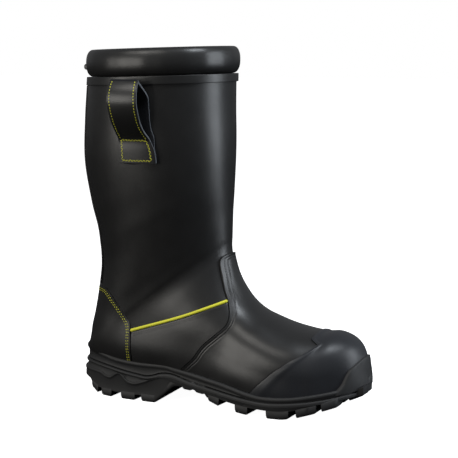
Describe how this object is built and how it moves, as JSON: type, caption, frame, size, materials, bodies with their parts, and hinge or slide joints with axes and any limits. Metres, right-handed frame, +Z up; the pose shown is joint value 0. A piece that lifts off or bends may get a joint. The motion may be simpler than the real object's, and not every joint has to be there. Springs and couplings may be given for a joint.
{
  "type": "firefighter boot",
  "caption": "Right-foot pull-on firefighter boot: tall leather shaft, padded collar, pull loops, toe guard and lugged rubber sole, standing empty.",
  "frame": {"origin": "on the floor under the middle of the heel, on the flat foot of the heel's third lug row", "axes": "+X from heel to toe, +Y towards the other foot (medial), +Z up"},
  "size_m": [0.304, 0.1832, 0.3532],
  "materials": {
    "leather": "smooth black leather, half gloss",
    "guard_rubber": "matt blue-grey black rubber with a fine grain",
    "midsole_rubber": "matt dark grey rubber",
    "sole_rubber": "matt dark grey tread rubber",
    "lining": "dark woven lining",
    "piping": "lemon yellow reflective cord"
  },
  "bodies": {
    "root": {"outsole": "sole_rubber", "midsole": "midsole_rubber", "insole": "lining", "upper": "leather", "vamp": "leather", "toe_guard": "guard_rubber", "heel_counter": "leather", "backstay": "leather", "collar_band": "leather", "collar": "leather", "rear_tab": "leather", "quarter_lateral": "leather", "quarter_medial": "leather", "piping_lateral": "piping", "piping_medial": "piping", "pull_loop_lateral": "leather", "pull_loop_medial": "leather"}
  },
  "joints": []
}
